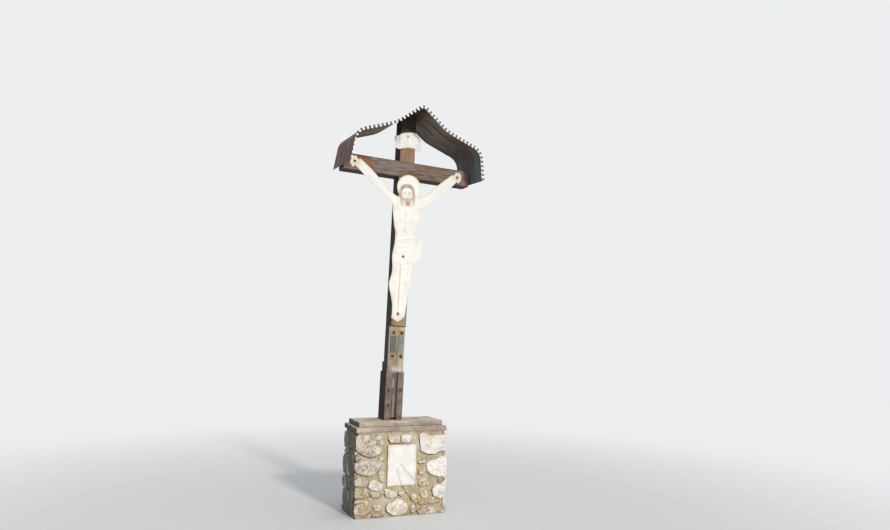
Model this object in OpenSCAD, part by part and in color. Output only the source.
// Wayside cross: a timber cross with a sheet canopy and a painted sheet figure, standing in two
// steel channels on a rubble plinth with a two-step coping.
// Millimetres, +Z up. The front faces -Y. The origin is the middle of the plinth's foot.

/* [Plinth] */
// Width of the masonry block
plinth_w = 940; // [800:10:1200]
// Depth of the masonry block
plinth_d = 440; // [380:10:700]
// Height of the masonry block under the coping
plinth_h = 830; // [500:10:1200]
// How far the lower slab stands out all round
lower_slab_lip = 14; // [0:1:30]
// How far the upper slab steps in from the lower one
slab_step = 36; // [10:1:50]
// Thickness of the lower slab
lower_slab_t = 50; // [30:1:90]
// Thickness of the upper slab
upper_slab_t = 50; // [30:1:90]
// How far the slabs' worn edges are taken off
slab_ease = 7; // [2:1:12]

/* [Plaque] */
// Width of the marble plaque
plaque_w = 300; // [200:5:400]
// Height of the marble plaque
plaque_h = 400; // [250:5:480]
// Thickness of the marble plaque
plaque_t = 20; // [15:1:30]
// Height of the plaque's middle above the ground
plaque_z = 500; // [300:5:560]
// Bevel round the plaque's face
plaque_bevel = 3; // [1:0.5:6]

/* [Standing of the cross] */
// Sideways place of the cross's foot, to the right of the plinth's middle
foot_x = -47; // [-120:1:120]
// Depthwise place of the cross's foot, behind the plinth's middle
foot_y = 18; // [-20:1:20]
// Lean of the cross to the right, in degrees
lean = 1.5; // [0:0.1:3]
// Turn of the cross on its plinth, in degrees
turn = 2.6; // [0:0.1:5]

/* [Channels] */
// Height of the two steel channels above the coping
channel_h = 490; // [350:5:520]
// Flange width of a channel
flange_w = 66; // [55:1:75]
// Flange thickness of a channel
flange_t = 11; // [8:0.5:13]
// Web thickness of a channel
web_t = 8; // [6:0.5:10]
// Radius of the fillet between web and flange, and of a flange's inner toe
root_r = 5.5; // [3:0.5:6]
// Clear height of the timber's foot above the coping
timber_gap = 20; // [10:1:40]

/* [Timbers] */
// Width of the lower timber
lower_w = 180; // [160:2:200]
// Width of the upper timber
upper_w = 170; // [150:2:180]
// Depth of both timbers and of the crossbeam
timber_d = 158; // [140:2:180]
// How far the lower timber stands to the left of the upper one
lower_shift = 12; // [0:1:20]
// How far the lower timber's long edges are planed off
lower_ease = 6; // [6:0.5:10]
// How far the older timbers' edges are worn off
upper_ease = 4; // [2:0.5:8]
// Height of the splice's foot above the coping
lap_bottom = 590; // [560:5:640]
// Height of the splice's top above the coping
lap_top = 960; // [920:5:1000]
// Length of the crossbeam
beam_l = 1450; // [1340:5:1500]
// Height of the crossbeam's section
beam_h = 170; // [150:2:180]
// Height of the crossbeam's middle above the coping
beam_z = 2640; // [2600:5:2700]
// How far the crossbeam is shifted to the right
beam_shift = 22; // [0:1:40]

/* [Splice fixings] */
// Width of a splice strap
strap_w = 62; // [50:1:66]
// Length of a splice strap
strap_l = 296; // [280:2:310]
// Thickness of a splice strap
strap_t = 5; // [4:0.5:8]
// Distance between the two bolts of a strap
bolt_pitch = 241; // [220:1:250]
// Distance between the two straps' middles
strap_pitch = 91; // [80:1:96]
// Radius of a bolt's shank
bolt_r = 6; // [5:0.5:8]

/* [Canopy] */
// Depth of the canopy from front edge to rear edge
canopy_d = 610; // [500:5:700]
// How far the canopy's front edge lies ahead of the cross's middle
canopy_front = 392; // [300:2:450]
// Forward nod of the canopy, in degrees
canopy_nod = 2.5; // [0:0.1:4]
// Thickness of the canopy sheet
sheet_t = 3; // [2:0.5:5]
// Radius of the rounded ridge
ridge_r = 55; // [30:1:90]
// Slope of the roof beside the ridge, in degrees
ridge_slope = 38; // [32:1:44]
// Straight length beside the ridge
ridge_l = 259; // [220:1:280]
// Radius of the hollow between ridge and eaves
hollow_r = 388; // [300:2:420]
// Slope of the roof towards the shoulders, in degrees
eave_slope = 20; // [14:1:24]
// Radius of the rounded shoulder
shoulder_r = 150; // [130:2:190]
// Straight length of a flank below the shoulder
flank_l = 230; // [180:2:250]
// Outward lean of a flank towards its foot, in degrees
flank_lean = 8; // [0:0.5:12]
// How far the flanks stop above the crossbeam's underside
flank_rise = 30; // [10:1:50]

/* [Toothed trim] */
// Spacing of the teeth that point the same way
tooth_pitch = 47; // [44:1:52]
// Width of a tooth
tooth_w = 21; // [16:0.5:21.5]
// Length of a tooth
tooth_l = 17; // [12:0.5:30]
// Thickness of the teeth and of their strip
tooth_t = 2; // [1:0.5:3]
// Depth of the strip that carries the teeth
strip_d = 26; // [15:1:40]

/* [Figure] */
// Thickness of the figure's sheet
figure_t = 3; // [2:0.5:5]
// Radius of the halo
halo_r = 137; // [125:1:140]
// Radius of a palm
palm_r = 43; // [38:1:48]
// Radius of a nail's shank
nail_r = 4; // [3:0.5:5]
// Radius of a nail's head
nail_head_r = 9; // [7:0.5:12]

/* [Scroll] */
// Width of the scroll
scroll_w = 300; // [260:2:340]
// Height of the scroll
scroll_h = 208; // [180:2:220]
// Thickness of the scroll's sheet
scroll_t = 2; // [1:0.5:4]
// Height of the scroll's middle above the crossbeam's middle
scroll_rise = 315; // [280:1:340]
// Radius of the scroll's curled end
curl_r = 46; // [30:1:70]

/* [Hidden] */
$fn = 32;

lower_slab_w = plinth_w + 2 * lower_slab_lip;
lower_slab_d = plinth_d + 2 * lower_slab_lip;
upper_slab_w = lower_slab_w - 2 * slab_step;
upper_slab_d = lower_slab_d - 2 * slab_step;
coping_top = plinth_h + lower_slab_t + upper_slab_t;
front = -timber_d / 2;
bolt_low = (lap_bottom + lap_top) / 2 - bolt_pitch / 2 - 2;
bolt_high = bolt_low + bolt_pitch;
bolt_clear = 0.5;
nail_clear = 0.2;
nail_l = 60;
washer_r = 16;
washer_t = 3;
hex_r = 12.5;
hex_t = 9;
screw_r = 5;
screw_l = 70;
beam_foot = beam_z - beam_h / 2;
over = 1;
sink = 0.5;
halo_drop = 191;
loincloth_drop = 940;
feet_drop = 1546;
screw_rise = 53;
halo_at = [37, beam_z - halo_drop];
scroll_at = [0, beam_z + scroll_rise];

// Stands its children on the coping, leaning and turned as the cross is.
module on_cross() {
    translate([foot_x, foot_y, coping_top]) rotate([0, lean, turn]) children();
}

// Cuts its children off level with the coping's top.
module cut_at_coping() {
    cut = 1000;
    difference() {
        children();
        translate([-cut / 2, -cut / 2, coping_top - cut]) cube([cut, cut, cut]);
    }
}

// A rod along Y from depth y0 to y1 at [x, z].
module rod(at, y0, y1, r) {
    translate([at[0], y1, at[1]]) rotate([90, 0, 0]) cylinder(h = y1 - y0, r = r);
}

// A domed nail head whose flat side lies on the plane y, bulging towards -Y.
module nail_head(at, y, r) {
    rise = r * 0.45;
    ball = (r * r + rise * rise) / (2 * rise);
    translate([at[0], y, at[1]]) rotate([90, 0, 0]) intersection() {
        cylinder(h = rise, r = r);
        translate([0, 0, rise - ball]) sphere(r = ball);
    }
}

// A rectangle a by b, centred, with its corners cut off by e.
module eased_square(a, b, e) {
    polygon([[-a / 2 + e, -b / 2], [a / 2 - e, -b / 2], [a / 2, -b / 2 + e], [a / 2, b / 2 - e],
        [a / 2 - e, b / 2], [-a / 2 + e, b / 2], [-a / 2, b / 2 - e], [-a / 2, -b / 2 + e]]);
}

// A block of the given size whose twelve edges are eased by e, its lowest corner at p.
module eased_block(p, size, e) {
    translate([p[0] + size[0] / 2, p[1] + size[1] / 2, p[2] + size[2] / 2]) intersection() {
        translate([0, 0, -size[2] / 2]) linear_extrude(height = size[2]) eased_square(size[0], size[1], e);
        translate([0, size[1] / 2, 0]) rotate([90, 0, 0]) linear_extrude(height = size[1])
            eased_square(size[0], size[2], e);
        translate([-size[0] / 2, 0, 0]) rotate([90, 0, 90]) linear_extrude(height = size[0])
            eased_square(size[1], size[2], e);
    }
}

// Masonry and coping

module plinth_masonry() {
    color("beige") translate([-plinth_w / 2, -plinth_d / 2, 0]) cube([plinth_w, plinth_d, plinth_h]);
}

module lower_coping() {
    color("tan") eased_block([-lower_slab_w / 2, -lower_slab_d / 2, plinth_h],
        [lower_slab_w, lower_slab_d, lower_slab_t], slab_ease);
}

module upper_coping() {
    color("tan") eased_block([-upper_slab_w / 2, -upper_slab_d / 2, plinth_h + lower_slab_t],
        [upper_slab_w, upper_slab_d, upper_slab_t], slab_ease);
}

// The plaque's back stands flat on the masonry, so only the front half of an eased block is kept.
module plaque() {
    wall = -plinth_d / 2;
    color("white") difference() {
        eased_block([-plaque_w / 2, wall - plaque_t, plaque_z - plaque_h / 2],
            [plaque_w, 2 * plaque_t, plaque_h], plaque_bevel);
        translate([-plaque_w, wall, plaque_z - plaque_h])
            cube([2 * plaque_w, 2 * plaque_t, 2 * plaque_h]);
    }
}

// Steel channels and their screws

left_web = -lower_shift - lower_w / 2;
right_web = -lower_shift + lower_w / 2;
left_flange_mid = left_web - web_t + flange_w / 2;
right_flange_mid = right_web + web_t - flange_w / 2;
left_screws = [[left_flange_mid, 152], [left_flange_mid, 303]];
right_screws = [[right_flange_mid, 307]];

arc_steps = 7;

// Points of a quarter circle round c, from the angle a over the angle turn.
function quarter(c, r, a, turn) =
    [for (i = [0:arc_steps]) let (b = a + turn * i / arc_steps) [c[0] + r * cos(b), c[1] + r * sin(b)]];

// The rolled section, its web's inner face on x = 0 and its flanges reaching towards +X.
module channel_section() {
    outer = -front + flange_t;
    toe = flange_w - web_t;
    polygon(concat(
        [[-web_t, -outer], [toe, -outer]],
        quarter([toe - root_r, front - root_r], root_r, 0, 90),
        quarter([root_r, front + root_r], root_r, 270, -90),
        quarter([root_r, -front - root_r], root_r, 180, -90),
        quarter([toe - root_r, -front + root_r], root_r, 270, 90),
        [[toe, outer], [-web_t, outer]]
    ));
}

// One channel, with its web's inner face on x and its flanges reaching towards dir.
module channel(x, dir, screws) {
    rise = 30;
    cut_at_coping() on_cross() difference() {
        translate([x, 0, -rise]) mirror([dir > 0 ? 0 : 1, 0, 0])
            linear_extrude(height = channel_h + rise) channel_section();
        for (s = screws) rod(s, front - 2 * flange_t, -front + 2 * flange_t, screw_r + bolt_clear);
    }
}

module left_channel() { color("rosybrown") channel(left_web, 1, left_screws); }

module right_channel() { color("rosybrown") channel(right_web, -1, right_screws); }

// Coach screws through one flange: side -1 is the front, 1 the back.
module channel_screws(screws, side) {
    face = front - flange_t;
    on_cross() mirror([0, side > 0 ? 1 : 0, 0]) for (s = screws) {
        rod(s, face, face + screw_l, screw_r);
        translate([s[0], face, s[1]]) rotate([90, 0, 0]) cylinder(h = hex_t, r = hex_r, $fn = 6);
    }
}

module left_channel_front_screws() { color("sienna") channel_screws(left_screws, -1); }

module right_channel_front_screw() { color("sienna") channel_screws(right_screws, -1); }

module left_channel_back_screws() { color("sienna") channel_screws(left_screws, 1); }

module right_channel_back_screw() { color("sienna") channel_screws(right_screws, 1); }

// Timbers

splice_points = [for (x = [-1, 1], z = [bolt_low, bolt_high])
    [-lower_shift / 2 + x * strap_pitch / 2, z]];

module splice_holes() {
    for (p = splice_points) rod(p, -timber_d, timber_d, bolt_r + bolt_clear);
}

module lower_post() {
    color("tan") on_cross() difference() {
        eased_block([left_web, front, timber_gap], [lower_w, timber_d, lap_top - timber_gap], lower_ease);
        translate([left_web - over, 0, lap_bottom]) cube([lower_w + 2 * over, timber_d, lap_top]);
        splice_holes();
        for (s = concat(left_screws, right_screws)) {
            rod(s, front - over, front - flange_t + screw_l + over, screw_r + bolt_clear);
            rod(s, -front + flange_t - screw_l - over, -front + over, screw_r + bolt_clear);
        }
    }
}

left_hand = [-584, beam_z + 10];
right_hand = [601, beam_z + 1];
loincloth_point = [10, beam_z - loincloth_drop];
feet_point = [-16, beam_z - feet_drop];
scroll_screw_at = [scroll_at[0] - 6, scroll_at[1] + screw_rise];

module nail_hole(at) {
    rod(at, front - over, front - figure_t + nail_l + over, nail_r + nail_clear);
}

module upper_post() {
    color("saddlebrown") on_cross() difference() {
        eased_block([-upper_w / 2, front, lap_bottom],
            [upper_w, timber_d, post_top - lap_bottom], upper_ease);
        translate([-upper_w / 2 - over, -timber_d, lap_bottom - over])
            cube([upper_w + 2 * over, timber_d, lap_top - lap_bottom + over]);
        translate([-upper_w / 2 - over, front - over, beam_foot])
            cube([upper_w + 2 * over, timber_d / 2 + over, beam_h]);
        splice_holes();
        nail_hole(loincloth_point);
        nail_hole(feet_point);
        nail_hole(scroll_screw_at);
        nod() above_canopy();
    }
}

module crossbeam() {
    color("saddlebrown") on_cross() difference() {
        eased_block([beam_shift - beam_l / 2, front, beam_foot], [beam_l, timber_d, beam_h], upper_ease);
        translate([-upper_w / 2, 0, beam_foot - over]) cube([upper_w, timber_d, beam_h + 2 * over]);
        nail_hole(left_hand);
        nail_hole(right_hand);
        flank_nail_bores(nail_r + nail_clear, nail_l + over);
    }
}

// Splice fixings

module strap(column, side) {
    x = -lower_shift / 2 + column * strap_pitch / 2;
    mid = (bolt_low + bolt_high) / 2;
    y = side < 0 ? front - strap_t : -front;
    color("silver") on_cross() difference() {
        translate([x - strap_w / 2, y, mid - strap_l / 2]) cube([strap_w, strap_t, strap_l]);
        splice_holes();
    }
}

module front_left_strap() { strap(-1, -1); }

module front_right_strap() { strap(1, -1); }

module back_left_strap() { strap(-1, 1); }

module back_right_strap() { strap(1, 1); }

washer_face = timber_d / 2 + strap_t;
hex_face = washer_face + washer_t;
thread_out = 6;

module splice_bolts() {
    color("sienna") on_cross() for (p = splice_points) {
        rod(p, -hex_face, hex_face + hex_t + thread_out, bolt_r);
        translate([p[0], -hex_face, p[1]]) rotate([90, 0, 0]) cylinder(h = hex_t, r = hex_r, $fn = 6);
    }
}

module washer_ring(at, y) {
    difference() {
        rod(at, y, y + washer_t, washer_r);
        rod(at, y - over, y + washer_t + over, bolt_r + bolt_clear);
    }
}

module splice_front_washers() {
    color("sienna") on_cross() for (p = splice_points) washer_ring(p, -hex_face);
}

module splice_back_washers() {
    color("sienna") on_cross() for (p = splice_points) washer_ring(p, washer_face);
}

module splice_nuts() {
    color("sienna") on_cross() for (p = splice_points) difference() {
        translate([p[0], hex_face + hex_t, p[1]]) rotate([90, 0, 0]) cylinder(h = hex_t, r = hex_r, $fn = 6);
        rod(p, hex_face - over, hex_face + hex_t + over, bolt_r);
    }
}

// Canopy

// The flanks rest against the upper edges of the beam's ends and lean out below them. The canopy
// nods, so the middle of an edge keeps a gap that lets the flank meet the edge's end.
flank_gap = 0.3 + timber_d / 2 * sin(canopy_nod) * sin(flank_lean);
canopy_half = beam_l / 2 + flank_gap / cos(flank_lean)
    + (beam_h - upper_ease - flank_rise) * tan(flank_lean);
eave_l = (canopy_half - ridge_r * sin(ridge_slope) - ridge_l * cos(ridge_slope)
    - hollow_r * (sin(ridge_slope) - sin(eave_slope)) - shoulder_r * (cos(flank_lean) - sin(eave_slope))
    - flank_l * sin(flank_lean)) / cos(eave_slope);

// The half outline from ridge to flank: each stretch is [length, turn in degrees, radius].
stretches = [
    [ridge_r * ridge_slope * PI / 180, ridge_slope, ridge_r],
    [ridge_l, 0, 0],
    [hollow_r * (ridge_slope - eave_slope) * PI / 180, eave_slope - ridge_slope, hollow_r],
    [eave_l, 0, 0],
    [shoulder_r * (90 - flank_lean - eave_slope) * PI / 180, 90 - flank_lean - eave_slope, shoulder_r],
    [flank_l, 0, 0]
];

// The point and slope [x, z, degrees] at the length u along the half outline.
function outline_at(u, i = 0, x = 0, z = 0, a = 0) =
    let (
        s = stretches[i],
        last = i == len(stretches) - 1,
        part = last ? u : min(u, s[0]),
        b = a + s[1] * part / s[0],
        k = s[1] == 0 ? 0 : s[2] * sign(s[1]),
        x1 = x + (k == 0 ? part * cos(a) : k * (sin(b) - sin(a))),
        z1 = z - (k == 0 ? part * sin(a) : k * (cos(a) - cos(b)))
    )
    (last || u <= s[0]) ? [x1, z1, b] : outline_at(u - s[0], i + 1, x1, z1, b);

function start_of(i) = i == 0 ? 0 : start_of(i - 1) + stretches[i - 1][0];

half_length = start_of(len(stretches) - 1) + flank_l;
half_marks = concat(
    [0],
    [for (i = [0:len(stretches) - 1]) let (n = stretches[i][1] == 0 ? 1 : arc_steps)
        for (j = [1:n]) start_of(i) + stretches[i][0] * j / n]
);

// The whole outline from right foot over the ridge to left foot, moved outwards by off.
function canopy_line(off) =
    let (half = [for (u = half_marks) let (p = outline_at(u))
        [p[0] + off * sin(p[2]), p[1] + off * cos(p[2])]])
    concat(reversed(half), [for (i = [1:len(half) - 1]) [-half[i][0], half[i][1]]]);

function reversed(v) = [for (i = [len(v) - 1:-1:0]) v[i]];

flank_foot = beam_foot + flank_rise;
ridge_z = flank_foot - outline_at(half_length)[1];
post_top = ridge_z + 20;

// Turns its children with the canopy, about the crossbeam's middle.
module nod() {
    translate([0, 0, beam_z]) rotate([canopy_nod, 0, 0]) translate([0, 0, -beam_z]) children();
}

// Extrudes an outline drawn in the canopy's front view from depth y0 over the length d.
module canopy_prism(y0, d) {
    translate([beam_shift, y0 + d, ridge_z]) rotate([90, 0, 0]) linear_extrude(height = d) children();
}

module above_canopy() {
    high = 300;
    canopy_prism(-canopy_front, canopy_d)
        polygon(concat(canopy_line(0), [[-canopy_half, high], [canopy_half, high]]));
}

module canopy_sheet() {
    color("saddlebrown") on_cross() difference() {
        nod() canopy_prism(-canopy_front, canopy_d)
            polygon(concat(canopy_line(sheet_t), reversed(canopy_line(0))));
        flank_nail_bores(nail_r + nail_clear, sheet_t + over);
    }
}

module trim_strip() {
    color("gainsboro") on_cross() nod() canopy_prism(-canopy_front, strip_d)
        polygon(concat(canopy_line(0), reversed(canopy_line(-tooth_t))));
}

// A round-ended tooth, its root on the edge and its tip along y.
module tooth() {
    steps = 6;
    r = tooth_w / 2;
    root = sheet_t;
    polygon(concat([[-r, -root], [r, -root]],
        [for (i = [0:steps]) [r * cos(180 * i / steps), tooth_l - r + r * sin(180 * i / steps)]]));
}

// Places teeth at the lengths us along both halves, side 1 outwards and -1 inwards.
module teeth(us, side) {
    on_cross() nod() canopy_prism(-canopy_front - tooth_t, tooth_t) for (m = [0, 1])
        mirror([m, 0]) for (u = us) if (u > 0 || m == 0) {
            p = outline_at(u);
            translate([p[0], p[1]]) rotate(-p[2]) mirror([0, side > 0 ? 0 : 1]) tooth();
        }
}

tooth_count = floor((half_length - tooth_w / 2) / tooth_pitch);

module inward_teeth() {
    color("white") teeth([for (i = [0:tooth_count - 1]) (i + 0.5) * tooth_pitch], -1);
}

module outward_teeth() {
    color("dimgray") teeth([for (i = [0:tooth_count]) i * tooth_pitch], 1);
}

flank_nail_y = timber_d / 4;
flank_nail_drop = 28;
flank_nail_u = half_length - (beam_h - flank_rise - flank_nail_drop) / cos(flank_lean);

// Stands its children, drawn with +Z outwards, at the two nails of one flank.
module at_flank_nails(side) {
    p = outline_at(flank_nail_u);
    nod() translate([beam_shift, 0, ridge_z]) rotate([0, 0, side > 0 ? 0 : 180])
        for (y = [-flank_nail_y, flank_nail_y])
            translate([p[0], y, p[1]]) rotate([0, p[2], 0]) children();
}

module flank_rod(side, r, depth, out) {
    at_flank_nails(side) translate([0, 0, -depth]) cylinder(h = depth + sheet_t + out, r = r);
}

// Bores square to both flanks into the beam's ends, out through the sheet.
module flank_nail_bores(r, depth) {
    for (side = [-1, 1]) flank_rod(side, r, depth, over);
}

module flank_nails(side) {
    color("sienna") on_cross() {
        flank_rod(side, nail_r, nail_l, 0);
        at_flank_nails(side) translate([0, 0, sheet_t]) rotate([-90, 0, 0])
            nail_head([0, 0], 0, nail_head_r);
    }
}

module left_flank_nails() { flank_nails(-1); }

module right_flank_nails() { flank_nails(1); }

// Scroll

// A point on a smooth curve between b and c, with neighbours a and d.
function blend(a, b, c, d, t) =
    0.5 * (2 * b + (c - a) * t + (2 * a - 5 * b + 4 * c - d) * t * t + (3 * b - a - 3 * c + d) * t * t * t);

// An open smooth curve through the points p, with n steps between each two.
function smooth(p, n) = concat(
    [for (i = [0:len(p) - 2], j = [0:n - 1])
        blend(p[max(i - 1, 0)], p[i], p[i + 1], p[min(i + 2, len(p) - 1)], j / n)],
    [p[len(p) - 1]]
);

// The scroll's outline in shares of its width and height, clockwise from its left shoulder.
scroll_top = [[-0.36, 0.23], [-0.26, 0.35], [-0.12, 0.42], [0.04, 0.47], [0.19, 0.5], [0.34, 0.41],
    [0.45, 0.22], [0.5, 0]];
scroll_tail = [[0.5, -0.46], [0.42, -0.5], [0.34, -0.49], [0.31, -0.35]];
scroll_foot = [[0.16, -0.33], [0, -0.34], [-0.16, -0.4], [-0.33, -0.49]];
scroll_end = [[-0.48, -0.43], [-0.49, -0.11], [-0.36, -0.09]];

module scroll_panel() {
    outline = concat(smooth(scroll_top, 4), scroll_tail, smooth(scroll_foot, 4), scroll_end);
    translate([scroll_at[0], front, scroll_at[1]]) rotate([90, 0, 0])
        linear_extrude(height = scroll_t)
            polygon([for (p = outline) [p[0] * scroll_w, p[1] * scroll_h]]);
}

// The left end, rolled back from the panel's edge.
module scroll_curl() {
    curl = 62;
    edge = scroll_top[0];
    foot = scroll_h * scroll_end[2][1];
    translate([scroll_at[0] + edge[0] * scroll_w + sink, front - scroll_t + curl_r + sink,
        scroll_at[1] + foot])
        rotate([0, 0, 270 - curl]) rotate_extrude(angle = curl) translate([curl_r - scroll_t, 0])
            square([scroll_t, scroll_h * edge[1] - foot - 2 * scroll_t]);
}

module scroll() {
    color("white") on_cross() difference() {
        union() {
            scroll_panel();
            scroll_curl();
        }
        rod(scroll_screw_at, front - 2 * scroll_t, front + over, nail_r + nail_clear);
    }
}

// A nail through the sheet of thickness t into the timber.
module nail(at, t) {
    color("darkslategray") on_cross() {
        rod(at, front - t, front - t + nail_l, nail_r);
        nail_head(at, front - t, nail_head_r);
    }
}

module scroll_screw() { nail(scroll_screw_at, scroll_t); }

// Figure: heights count from the crossbeam's middle, which carries the hands.
// Rows of [height, left edge, right edge] from the shoulders to the ankles.
body_rows = [
    [-290, -70, 150], [-340, -120, 190], [-400, -138, 197], [-490, -130, 186], [-610, -110, 156],
    [-700, -92, 143], [-790, -94, 148], [-880, -107, 156], [-950, -115, 152], [-1030, -106, 124],
    [-1120, -107, 108], [-1220, -131, 107], [-1280, -128, 99], [-1360, -105, 88], [-1460, -84, 74],
    [-1530, -82, 66], [-1574, -80, 56], [-1604, -58, 24]
];

// Arms as rows of [x, height, width] from shoulder to wrist.
left_arm = [[-70, -378, 120], [-150, -325, 94], [-219, -274, 86], [-301, -200, 93],
    [-424, -95, 103], [-515, -22, 97], [-556, 6, 90]];
right_arm = [[120, -378, 130], [214, -329, 108], [297, -263, 108], [386, -185, 112],
    [473, -107, 110], [543, -39, 98], [576, -12, 90]];

// The loincloth's loose end at the hip.
cloth_tail = [[120, -715], [172, -734], [236, -742], [232, -850], [220, -946], [186, -972],
    [140, -1012], [100, -940]];

// Round parts as [x, height, radius]: curled fingers, heel and thumb from the palm's middle, toes of
// both feet.
fingers = [[16, 42, 14], [31, 34, 14.5], [37, 13, 14], [38, -9, 14], [34, -29, 14], [17, -48, 15],
    [-8, 42, 14]];
toes = [[-10, -1613, 15], [-33, -1609, 12], [-51, -1601, 11], [-66, -1592, 10], [-79, -1581, 9.5],
    [17, -1598, 12], [34, -1584, 11], [48, -1569, 10]];

module body_shape() {
    rows = smooth(body_rows, 3);
    polygon(concat([for (r = rows) [r[2], r[0]]], reversed([for (r = rows) [r[1], r[0]]])));
}

module arm_shape(rows) {
    p = smooth(rows, 3);
    n = len(p);
    sides = [for (i = [0:n - 1]) let (
        a = p[max(i - 1, 0)], b = p[min(i + 1, n - 1)], d = [b[0] - a[0], b[1] - a[1]],
        w = p[i][2] / 2 / norm(d))
        [[p[i][0] - d[1] * w, p[i][1] + d[0] * w], [p[i][0] + d[1] * w, p[i][1] - d[0] * w]]];
    polygon(concat([for (s = sides) s[0]], reversed([for (s = sides) s[1]])));
}

// Stands its 2D children in the figure's sheet, on the timber's front, z up.
module in_sheet(at = [0, beam_z]) {
    translate([at[0], front, at[1]]) rotate([90, 0, 0]) linear_extrude(height = figure_t) children();
}

// A palm with its fingers and thumb; side is 1 for the right-hand one.
module hand(at, side) {
    in_sheet(at) circle(r = palm_r);
    for (f = fingers) in_sheet([at[0] + side * f[0], at[1] + f[1]]) circle(r = f[2]);
}

module figure() {
    color("ivory") on_cross() difference() {
        union() {
            in_sheet() body_shape();
            in_sheet() arm_shape(left_arm);
            in_sheet() arm_shape(right_arm);
            hand(left_hand, -1);
            hand(right_hand, 1);
            for (t = toes) in_sheet([t[0], beam_z + t[1]]) circle(r = t[2]);
            in_sheet() polygon(cloth_tail);
            in_sheet(halo_at) circle(r = halo_r, $fn = 64);
        }
        for (p = [left_hand, right_hand, loincloth_point, feet_point])
            rod(p, front - 2 * figure_t, front + over, nail_r + nail_clear);
    }
}

module left_hand_nail() { nail(left_hand, figure_t); }

module right_hand_nail() { nail(right_hand, figure_t); }

module loincloth_nail() { nail(loincloth_point, figure_t); }

module feet_nail() { nail(feet_point, figure_t); }

plinth_masonry();
lower_coping();
upper_coping();
plaque();
left_channel();
right_channel();
left_channel_front_screws();
right_channel_front_screw();
left_channel_back_screws();
right_channel_back_screw();
lower_post();
upper_post();
front_left_strap();
front_right_strap();
back_left_strap();
back_right_strap();
splice_bolts();
splice_front_washers();
splice_back_washers();
splice_nuts();
crossbeam();
canopy_sheet();
trim_strip();
inward_teeth();
outward_teeth();
left_flank_nails();
right_flank_nails();
scroll();
scroll_screw();
figure();
left_hand_nail();
right_hand_nail();
loincloth_nail();
feet_nail();
